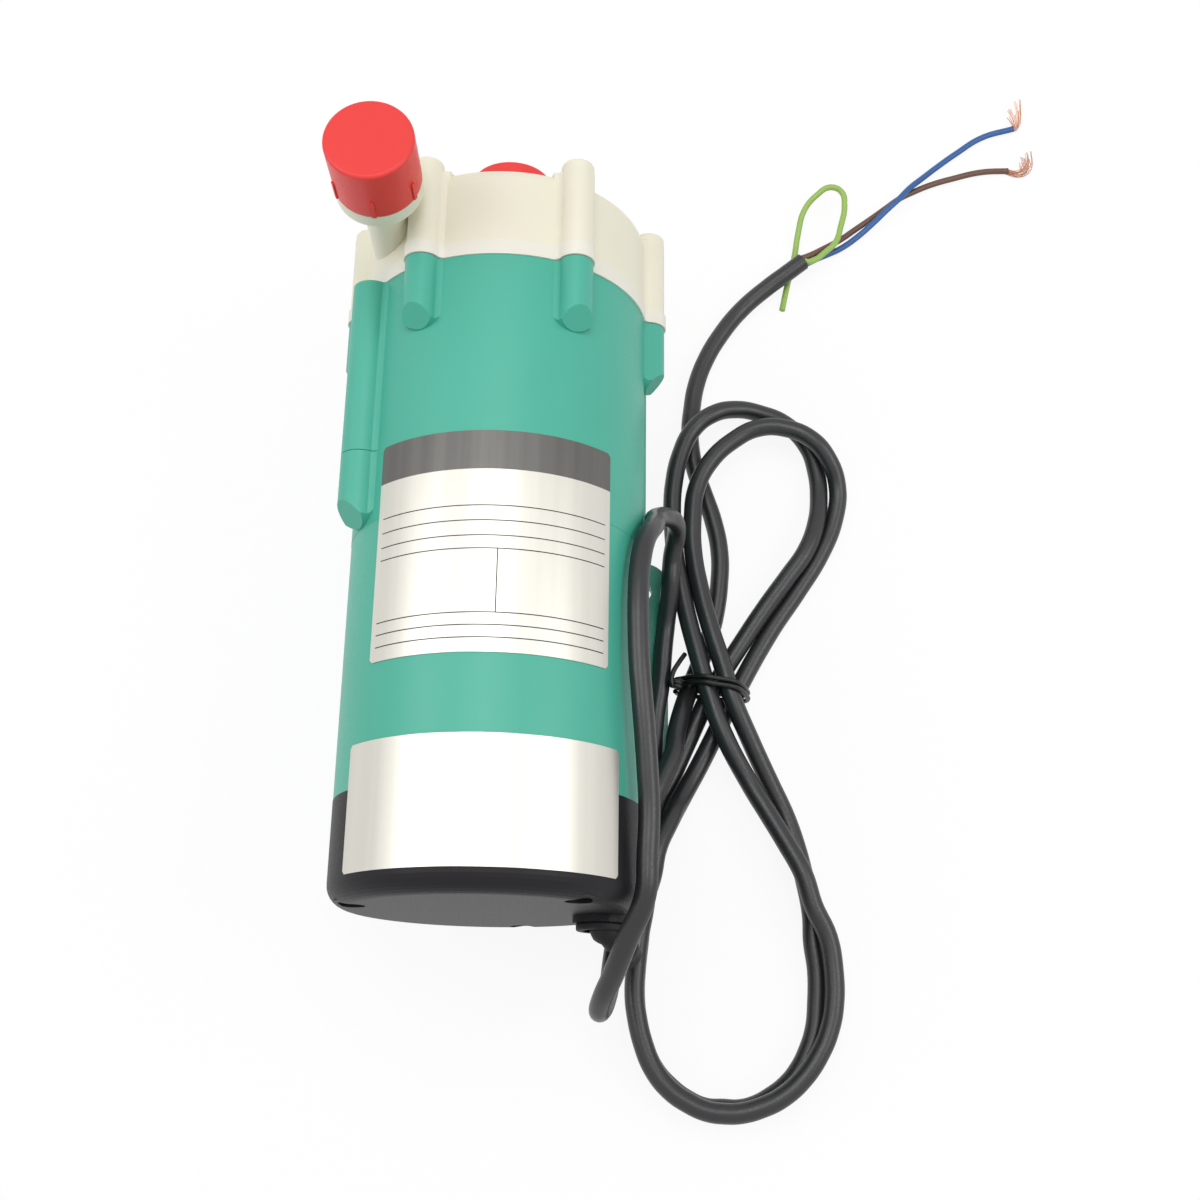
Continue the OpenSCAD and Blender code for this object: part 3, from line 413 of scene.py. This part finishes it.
def lay_wire(name, points, radius, radii=None, fineness=6, steps=6):
    """A round wire on one smooth curve through points in millimetres."""
    curve = bpy.data.curves.new(name, "CURVE")
    curve.dimensions = "3D"
    curve.bevel_depth = radius * MM
    curve.bevel_resolution = fineness
    curve.resolution_u = steps
    curve.use_fill_caps = True
    spline = curve.splines.new("BEZIER")
    spline.bezier_points.add(len(points) - 1)
    for i, (knot, p) in enumerate(zip(spline.bezier_points, points)):
        knot.co = mm(*p)
        knot.handle_left_type = knot.handle_right_type = "AUTO"
        knot.radius = radii[i] if radii else 1.0
    piece = bpy.data.objects.new(name, curve)
    bpy.context.scene.collection.objects.link(piece)
    return piece


def as_mesh(*pieces):
    """Turns curves into meshes and joins them into one piece."""
    clear_selection()
    for p in pieces:
        p.select_set(True)
    bpy.context.view_layer.objects.active = pieces[0]
    bpy.ops.object.convert(target="MESH")
    if len(pieces) > 1:
        bpy.ops.object.join()
    bpy.ops.object.shade_smooth_by_angle(angle=SMOOTH_ANGLE)
    return bpy.context.object


# Camera, at the photograph's place above the motor end


def place_camera():
    bpy.ops.object.camera_add()
    cam = bpy.context.object
    cam.data.sensor_width = 36
    cam.data.lens = 43.9
    cam.data.clip_start = 0.01
    right = Vector((0.9999, 0.0137, 0.0036))
    up = Vector((-0.0141, 0.9466, 0.3222))
    back = Vector((0.001, -0.3222, 0.9467))
    turn = Matrix((right, up, back)).transposed().to_4x4()
    stand = mm(31.5, -134.8, 473.8)
    cam.matrix_world = Matrix.Translation(stand) @ turn
    bpy.context.scene.camera = cam


place_camera()


# Mains cord: one length from the strain relief, twice round both loops of the figure of eight,
# once up over the motor's side, and out to its bare cores. All routes are in millimetres.

LEAD = [
    (40.3, -94.8, 42.7), (40.8, -95.7, 39), (41, -95.6, 34.6), (41.1, -93.9, 29.9), (41.5, -90.3, 25.8),
    (42.6, -85, 22.8), (45.1, -78.5, 20.8), (48.2, -70, 18.5), (50, -61, 18), (53.9, -52, 14.5),
    (58.3, -43, 8), (64.6, -31, 4.9), (75.8, -8.4, 4.7),
]
UPPER_TURN_1 = [
    (88.7, 15, 3.8), (97.7, 28.6, 3.5), (106.5, 43, 3.5), (111.8, 56.3, 3.5), (113, 67.8, 4.8),
    (109.4, 76.6, 8.8), (103.6, 82.8, 11), (94.4, 86.9, 11), (85.2, 86.8, 10.8), (76.5, 82, 10.8),
    (68.6, 74, 11), (63.6, 63.8, 11), (62.1, 51.8, 11), (62.3, 39.9, 11), (64.6, 26.2, 11.3),
    (67.7, 13.3, 11.8), (71.7, -0.2, 12.1), (74, -9, 12.1),
]
LOWER_TURN_1 = [
    (80.5, -24, 9), (87.2, -37.6, 5), (91.8, -47.3, 3.5), (95, -57, 3.5), (97.6, -68.2, 3.5),
    (99.4, -79, 3.5), (99.5, -87.3, 3.5), (100.5, -96.4, 3.5), (100.2, -106, 3.5), (99.3, -113.5, 3.5),
    (97.1, -120, 3.5), (93.9, -125.9, 3.5), (90, -130.4, 3.5), (85.2, -133.9, 3.5), (80.4, -136.4, 3.5),
    (75.4, -137.6, 3.5), (70.8, -137.5, 3.5), (65.5, -137.3, 3.5), (60.2, -135.3, 3.5), (54.3, -131.2, 3.5),
    (49.4, -125.7, 3.5), (46.3, -118.7, 3.5), (44.4, -111.4, 3.5), (43.7, -104.1, 3.5), (44, -96.5, 3.5),
    (45, -87, 3.5), (46, -76, 3.5), (47.2, -66, 3.5), (49.3, -55, 3.5), (51.7, -44, 3.4),
    (55.1, -36, 3.5), (59.4, -26, 3.8), (67.8, -8, 4.7),
]
UPPER_TURN_2 = [
    (80.1, 12.2, 6), (87.5, 23.4, 6.8), (94.8, 33.6, 7.3), (100.8, 42.4, 7.5), (104.9, 53.2, 6),
    (106.5, 63.6, 4), (106, 74, 3.3), (103.2, 83.4, 3.3), (95.6, 92, 3.5), (86.5, 95, 5.5),
    (77.8, 95, 8.5), (69.5, 91.9, 10.9), (62.6, 85.9, 11), (58, 75.9, 11), (55.8, 65.3, 11),
    (55.2, 56, 11), (55.6, 46, 11), (56.5, 36, 11), (58.2, 27, 11), (60.3, 16.6, 11.3), (63, 5.5, 11.9),
    (66.3, -7, 12.1),
]
LOWER_TURN_2 = [
    (71.3, -22, 11.7), (80.4, -39, 9), (85.4, -47.6, 9.5), (91, -57.4, 10.3), (96.2, -67.4, 10.9),
    (99.1, -77, 10.5), (103.4, -86.4, 9.5), (104.9, -96.5, 9), (104.7, -106.3, 9), (103, -114, 9),
    (99.8, -121, 9.3), (94.6, -128.2, 9.6), (88, -133.8, 10), (81.7, -136.8, 10.4), (75.4, -138.5, 10.6),
    (70.4, -138.7, 10.8), (65.3, -138.1, 10.9), (60, -136, 10.9), (54, -132.1, 10.9),
    (49.1, -126.2, 10.9), (46, -119, 10.9), (44, -110.8, 10.9), (43.3, -104.4, 10.9), (43.7, -96.4, 10.9),
    (44.7, -87.1, 10.9), (46.4, -77.5, 10.9), (47.3, -66, 11),
]
SIDE_LOOP = [
    (48, -52, 12), (48.5, -40, 11), (49, -28, 10), (49.7, -17.5, 9.4), (51.4, -5, 9.6), (52.2, 6, 9.6),
    (53.1, 15, 10.4), (54.2, 26.8, 17.9), (54.7, 34.8, 20.5), (55.8, 40.6, 27), (54.7, 41.7, 35),
    (51.4, 40, 43), (47.9, 35.8, 52), (47.2, 28.5, 65), (45.7, 24, 72), (43.8, 18.4, 77.2),
    (42.4, 9.6, 80.2), (41.9, -1, 81.8), (42, -11, 82), (42.4, -20.5, 81.8), (43.2, -30, 81),
    (44, -39, 79.8), (44.8, -49, 78.2), (45.4, -60, 76.5), (45, -72, 75.8), (44.4, -83, 74.5),
    (40, -93.5, 69), (36.5, -102, 61.5), (33.2, -109, 51.5), (32.6, -111.5, 43.5), (34.2, -108.3, 33),
    (35.6, -102, 25.2), (36.6, -94, 20.5), (38.5, -82, 18), (41.5, -70, 18), (44.5, -58, 19.2),
    (48.5, -46, 18.8), (51.8, -38, 17), (55.2, -30, 14.2), (56.5, -22, 10.5), (58.2, -15, 7.8),
    (60.4, -8, 5),
]
TAIL = [
    (65.4, 5, 4), (68.7, 15, 3.5), (70.1, 21, 3.5), (71.5, 31, 3.5), (71.8, 43, 3.5), (69.7, 55, 3.5),
    (66.7, 64.5, 3.5), (63.7, 73.5, 3.8), (62.3, 81, 4), (61.9, 89, 4), (62.7, 97.5, 3.5),
    (64, 105.8, 3.5), (67.5, 116.4, 3.5), (73.4, 127.4, 3.5), (81.2, 137.9, 3.5), (91.2, 147, 4.6),
    (97.2, 151.6, 5.4), (103.5, 156.5, 6.2),
]
BLUE_ROUTE = [
    (104, 155.9, 5), (105.9, 157, 4.5), (109.7, 159.6, 3.5), (113.6, 162, 2.5), (118.8, 165.3, 1.6),
    (124.4, 169.6, 1.8), (131.4, 176, 2.9), (136.3, 180.9, 3.8), (140.6, 185.1, 4.2), (145.1, 190.4, 3.6),
    (150.6, 195.8, 2.4), (156.7, 201.5, 1.5), (164.1, 207.5, 1.4), (174.5, 214.9, 1.4),
    (186.7, 219.1, 1.4),
]
BROWN_ROUTE = [
    (102.7, 157.6, 6.3), (105.7, 159, 6), (111.4, 163, 4.4), (118, 168, 2.6), (124.6, 173.7, 1.4),
    (130.2, 178.1, 1.3), (136.1, 182.9, 1.3), (141.2, 187, 1.3), (147, 190.3, 1.3), (153.4, 193.3, 1.4),
    (162, 196.3, 1.4), (173.4, 199.4, 1.4), (183.3, 200.1, 1.4),
]
EARTH_ROUTE = [
    (103.9, 155.9, 7.4), (106.1, 156, 7), (111.8, 160.5, 6.2), (116.1, 165.4, 5.8), (118, 171.5, 6),
    (119.6, 180.1, 7.3), (118.5, 185.2, 8.2), (114.3, 186.8, 8.6), (109.5, 184, 7.8), (104.9, 178.8, 5.5),
    (102.6, 170.1, 3), (101.4, 162.4, 1.3), (100, 156.1, 1.3), (98.4, 149.9, 1.3), (96.1, 139, 1.3),
]
CORD_R = 3.1
CORE_R = 1.1


def lay_cores():
    made = []
    for name, node_name, route, mat in (
        ("blue_core", "core_blue", BLUE_ROUTE, BLUE),
        ("brown_core", "core_brown", BROWN_ROUTE, BROWN),
        ("earth_core", "core_earth", EARTH_ROUTE, EARTH),
    ):
        core = as_mesh(lay_wire(name, route, CORE_R, fineness=5, steps=8))
        settle(core, name, mat, "pump")
        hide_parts(node_name)
        made.append(core)
    return made


# Stripped ends: strands side by side in a bundle, a part of them shorter than the path
STRANDS = 24
STRAND_R = 0.11
STRAND_SWING = 2.4
STRAND_TWIST = 0.8
SHORTEST_STRAND = 0.7
LENGTH_SHUFFLE = 7
BUNDLE_R = 0.75
PARTING = 1.6
STRAND_FLOOR = 0.2
BLUE_END = [(185.6, 218.8, 1.4), (188.4, 220.4, 1.6), (188.6, 224, 1.8), (188, 229, 1.6)]
BROWN_END = [(182, 200, 1.4), (187.2, 198.6, 1.5), (191.6, 200.8, 1.8), (191.8, 207, 1.6)]


def fray(name, path, spread):
    """A stripped end: copper strands leave together, follow the bend and come apart towards their tips."""
    strands = []
    for i in range(STRANDS):
        swing = STRAND_SWING * i
        rank = ((i * LENGTH_SHUFFLE) % STRANDS) / (STRANDS - 1)
        reach = SHORTEST_STRAND + (1 - SHORTEST_STRAND) * rank
        in_bundle = BUNDLE_R * math.sqrt((i + 0.5) / STRANDS)
        points = []
        for k, centre in enumerate(path):
            share = k / (len(path) - 1)
            loose = in_bundle + spread * share**PARTING
            across = (math.cos(swing), math.sin(swing + STRAND_TWIST * share), math.sin(swing))
            point = Vector(path[0]).lerp(Vector(centre), reach) + Vector(across) * loose
            point.z = max(point.z, STRAND_FLOOR)
            points.append(point)
        strands.append(lay_wire("strand", points, STRAND_R, fineness=1, steps=4))
    return settle(as_mesh(*strands), name, COPPER, "pump")


# Tie: its ring round the bundle as x and z, where it starts along y, and how far each wrap moves on
TIE_R = 0.8
TIE_RING = [
    (56.3, 5.2), (57.6, 2.2), (61, 1.2), (68.5, 1.2), (76.5, 1.2), (79.4, 2.4), (80.4, 5), (79.6, 8.4),
    (77.9, 12.6), (74.8, 16.2), (70, 16.4), (65, 16.2), (61.6, 13.6), (58.6, 9.2),
]
TIE_WRAPS = 2
TIE_OVERLAP = 3
TIE_Y = -8.4
TIE_ADVANCE = 1.9
TIE_LEAN = -0.13
TIE_MIDDLE_X = 68
KNOT_PLACE = (56.4, -7.6, 12.4)
KNOT_WIDE = 1.5
KNOT_HIGH = 1.2
KNOT_TURNS = 2
KNOT_STEPS = 16
KNOT_ADVANCE = 0.16
TIE_END = [(55.2, -7.6, 13.2), (54.7, -5.7, 13.6), (55.2, -2.9, 13.4), (57.2, 0.9, 12.6), (59.3, 4.3, 11.0)]


def lay_tie():
    """Coated wire wound twice round the bundle, knotted at its left, with one end left free."""
    count = len(TIE_RING)
    wraps = []
    for i in range(TIE_WRAPS * count + TIE_OVERLAP):
        x, z = TIE_RING[i % count]
        lean = TIE_LEAN * (x - TIE_MIDDLE_X)
        wraps.append((x, TIE_Y + lean + TIE_ADVANCE * i / count, z))
    x, y, z = KNOT_PLACE
    knot = []
    for i in range(KNOT_STEPS + 1):
        swing = 2 * math.pi * KNOT_TURNS * i / KNOT_STEPS
        knot.append((x + KNOT_WIDE * math.cos(swing), y + KNOT_ADVANCE * i, z + KNOT_HIGH * math.sin(swing)))
    wires = [
        lay_wire("wrap", wraps, TIE_R, fineness=3, steps=6),
        lay_wire("knot", knot, TIE_R, fineness=3, steps=4),
        lay_wire("free", TIE_END, TIE_R, fineness=3, steps=6),
    ]
    tie = settle(as_mesh(*wires), "twist_tie", COATED, "pump")
    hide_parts("cord_tie")
    return tie


# Strain relief: the boot's line with its ribs as radii, then the gland's axis and its rings as y, depth
# and radius
BOOT_ROUTE = [
    (32.5, -86.5, 50), (32.9, -87.9, 49.9), (33.9, -89.3, 49.7), (35.3, -90.5, 49.2),
    (36.9, -91.6, 48.3), (38.4, -92.7, 46.9), (39.6, -93.8, 45), (40.3, -94.8, 42.7),
    (40.7, -95.5, 40.2),
]
BOOT_RIBS = [4.7, 4.0, 4.5, 3.9, 4.4, 3.8, 4.2, 3.6, 4.0]
GLAND_X = 32.5
GLAND_Z = 50
GLAND_RINGS = ((-89, 2, 7), (-84, 12, 5.4), (-79, 2, 7))
GLAND_ROUNDING = 0.5


def mould_strain_relief():
    """A tapered rubber boot with ribs, on a flange and a neck that sits in the cover's gland."""
    parts = [lay_wire("boot", BOOT_ROUTE, 1.0, radii=BOOT_RIBS, fineness=8, steps=6)]
    for y, deep, radius in GLAND_RINGS:
        clear_selection()
        bpy.ops.mesh.primitive_cylinder_add(
            vertices=48,
            radius=radius * MM,
            depth=deep * MM,
            location=mm(GLAND_X, y, GLAND_Z),
            rotation=(math.pi / 2, 0, 0),
        )
        ring = bpy.context.object
        bpy.ops.object.modifier_add(type="BEVEL")
        rounding = ring.modifiers[-1]
        rounding.width = GLAND_ROUNDING * MM
        rounding.segments = 3
        bpy.ops.object.modifier_apply(modifier=rounding.name)
        parts.append(ring)
    relief = settle(as_mesh(*parts), "strain_relief", RUBBER, "pump")
    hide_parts("cord_grommet")


cord = lay_wire(
    "mains_cord",
    LEAD + UPPER_TURN_1 + LOWER_TURN_1 + UPPER_TURN_2 + LOWER_TURN_2 + SIDE_LOOP + TAIL,
    CORD_R,
)
paint(cord, JACKET)
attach(cord, "pump")
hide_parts("power_cord", "cord_loop", "cord_hank", "cord_tail")
cores = lay_cores()
strands = [fray("blue_strands", BLUE_END, 2.2), fray("brown_strands", BROWN_END, 1.1)]
tie = lay_tie()
mould_strain_relief()


# Nozzles with their pipe threads, in millimetres along and out from each nozzle's own axis

THREAD_PITCH = 1.814
THREAD_ROOT = 9.32
THREAD_CREST = 10.44
RIDGE_R = 0.66
RIDGE_STEPS = 20
OUTLET_X = -34.5
OUTLET_Y = 114.3
OUTLET_PROFILE = [
    (4.5, 23.67), (6.3, 23.67), (6.3, 48), (12.8, 52), (12.8, 56.5), (THREAD_ROOT, 56.5),
    (THREAD_ROOT, 73), (4.5, 73),
]
INLET_PROFILE = [
    (9.3, 128.2), (14, 128.2), (14, 133.4), (THREAD_ROOT, 133.4), (THREAD_ROOT, 149.9), (7, 149.9),
    (7, 133.4),
]


def turn_nozzle(name, node_name, profile, start, end, lie):
    """A nozzle drawn ring by ring round its profile, with one thread ridge wound from start to end."""
    clear_selection()
    radius, height = profile[0]
    bpy.ops.mesh.primitive_circle_add(vertices=96, radius=radius * MM, location=mm(0, 0, height))
    body = bpy.context.object
    bpy.ops.object.transform_apply(location=True, rotation=True, scale=True)
    bpy.ops.object.mode_set(mode="EDIT")
    bpy.ops.mesh.select_all(action="SELECT")
    for wide, high in profile[1:] + profile[:1]:
        bpy.ops.mesh.extrude_region_move(TRANSFORM_OT_translate={"value": mm(0, 0, high - height)})
        bpy.ops.transform.resize(value=(wide / radius, wide / radius, 1), center_override=(0, 0, 0))
        radius, height = wide, high
    bpy.ops.mesh.select_all(action="SELECT")
    bpy.ops.mesh.remove_doubles(threshold=0.01 * MM)
    bpy.ops.mesh.normals_make_consistent(inside=False)
    bpy.ops.object.mode_set(mode="OBJECT")
    reach = THREAD_CREST - RIDGE_R
    helix = []
    for i in range(int((end - start) / THREAD_PITCH * RIDGE_STEPS) + 1):
        swing = 2 * math.pi * i / RIDGE_STEPS
        climb = start + THREAD_PITCH * i / RIDGE_STEPS
        helix.append((reach * math.cos(swing), reach * math.sin(swing), climb))
    nozzle = as_mesh(body, lay_wire("ridge", helix, RIDGE_R, fineness=2, steps=2))
    nozzle.matrix_world = lie
    settle(nozzle, name, IVORY, "pump")
    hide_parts(node_name)


turn_nozzle(
    "threaded_outlet",
    "discharge_nozzle",
    OUTLET_PROFILE,
    start=57.6,
    end=71.9,
    lie=Matrix.Translation((OUTLET_X * MM, OUTLET_Y * MM, SHAFT_Z)),
)
turn_nozzle(
    "threaded_inlet",
    "suction_nozzle",
    INLET_PROFILE,
    start=134.5,
    end=148.8,
    lie=Matrix.Translation((0, 0, SHAFT_Z)) @ Matrix.Rotation(-math.pi / 2, 4, "X"),
)


# Label patches on the round body, in millimetres

LABEL_LIFT = 0.05
LABEL_THICKNESS = 0.12
LABEL_CORNER = 1.0


def wrap_label(name, ends, sides, mat):
    """A patch of foil on the body: a sleeve cut to its width, with its corners taken off, then thickened."""
    clear_selection()
    low, high = ends
    bpy.ops.mesh.primitive_cylinder_add(
        vertices=288,
        radius=BODY_R + LABEL_LIFT * MM,
        depth=(high - low) * MM,
        end_fill_type="NOTHING",
        location=(0, (low + high) / 2 * MM, SHAFT_Z),
        rotation=(math.pi / 2, 0, 0),
    )
    patch = bpy.context.object
    bpy.ops.object.transform_apply(location=True, rotation=True, scale=True)
    bpy.ops.object.mode_set(mode="EDIT")
    for angle, side in zip(sides, (1, -1)):
        a = math.radians(angle)
        inwards = Vector((-math.sin(a), 0, math.cos(a))) * side
        edge = Vector((math.cos(a), 0, math.sin(a))) * BODY_R + Vector((0, 0, SHAFT_Z))
        cuts = [(edge, inwards)]
        for end, back in ((low, 1), (high, -1)):
            corner = edge + inwards * LABEL_CORNER * MM + Vector((0, end * MM, 0))
            cuts.append((corner, inwards + Vector((0, back, 0))))
        for point, normal in cuts:
            bpy.ops.mesh.select_all(action="SELECT")
            bpy.ops.mesh.bisect(plane_co=point, plane_no=normal, clear_inner=True)
    bpy.ops.mesh.select_all(action="SELECT")
    bpy.ops.mesh.normals_make_consistent(inside=False)
    bpy.ops.object.mode_set(mode="OBJECT")
    bpy.ops.object.modifier_add(type="SOLIDIFY")
    sheet = patch.modifiers[-1]
    sheet.thickness = LABEL_THICKNESS * MM
    sheet.offset = 1.0
    bpy.ops.object.modifier_apply(modifier=sheet.name)
    bpy.ops.object.shade_smooth_by_angle(angle=SMOOTH_ANGLE)
    settle(patch, name, mat, "pump")


wrap_label("rating_plate", PLATE_ENDS, PLATE_SIDES, PLATE_FOIL)
wrap_label("rear_sticker", STICKER_ENDS, STICKER_SIDES, BLANK_FOIL)


# Stage: a pale floor, soft light from above and a plain white surround, in metres

FLOOR_SIZE = 8
FLOOR_GLOW = 0.9
SURROUND_LIGHT = 0.52
LAMP_AIM = Vector((0.03, 0, 0.05))
LAMPS = (
    ((0.0, 0.2, 1.1), 0.6, 3.8),
    ((-0.7, 0.1, 0.75), 0.5, 2.6),
    ((0.75, 0.0, 0.75), 0.5, 2.6),
)


def backdrop_rays(owner):
    """One for the rays that should meet a white background: the camera's, and those by mirror or glass."""
    path = put(owner, "ShaderNodeLightPath")
    seen = path.outputs["Is Camera Ray"]
    for ray in ("Is Glossy Ray", "Is Transmission Ray"):
        both = put(owner, "ShaderNodeMath", {0: seen, 1: path.outputs[ray]}, operation="MAXIMUM")
        seen = both.outputs[0]
    return seen


def lay_floor():
    clear_selection()
    bpy.ops.mesh.primitive_plane_add(size=FLOOR_SIZE, location=(0, 0, 0))
    floor = bpy.context.object
    floor.name = "floor"
    mat, shader = start_material("white paper sweep")
    shader.inputs["Base Color"].default_value = linear("#f4f4f4")
    shader.inputs["Roughness"].default_value = 0.9
    share = put(mat, "ShaderNodeMath", {0: backdrop_rays(mat), 1: FLOOR_GLOW}, operation="MULTIPLY")
    glow = put(mat, "ShaderNodeEmission", {"Color": linear("#ffffff"), "Strength": 1.0})
    both = put(mat, "ShaderNodeMixShader", {0: share.outputs[0], 1: shader.outputs[0], 2: glow.outputs[0]})
    feed(mat, both.outputs[0], mat.node_tree.nodes["Material Output"].inputs["Surface"])
    paint(floor, mat)


def set_surround():
    world = bpy.data.worlds.new("white surround")
    bpy.context.scene.world = world
    world.use_nodes = True
    sky = world.node_tree.nodes["Background"]
    sky.inputs["Color"].default_value = linear("#ffffff")
    level = put(
        world,
        "ShaderNodeMapRange",
        {"Value": backdrop_rays(world), "To Min": SURROUND_LIGHT, "To Max": 1.0},
    )
    feed(world, level.outputs[0], sky.inputs["Strength"])


def hang_lamps():
    for place, size, power in LAMPS:
        bpy.ops.object.light_add(type="AREA", location=place)
        lamp = bpy.context.object
        lamp.data.size = size
        lamp.data.energy = power
        lamp.rotation_euler = (LAMP_AIM - Vector(place)).to_track_quat("-Z", "Y").to_euler()


lay_floor()
set_surround()
hang_lamps()
bpy.context.scene.view_settings.view_transform = "Standard"
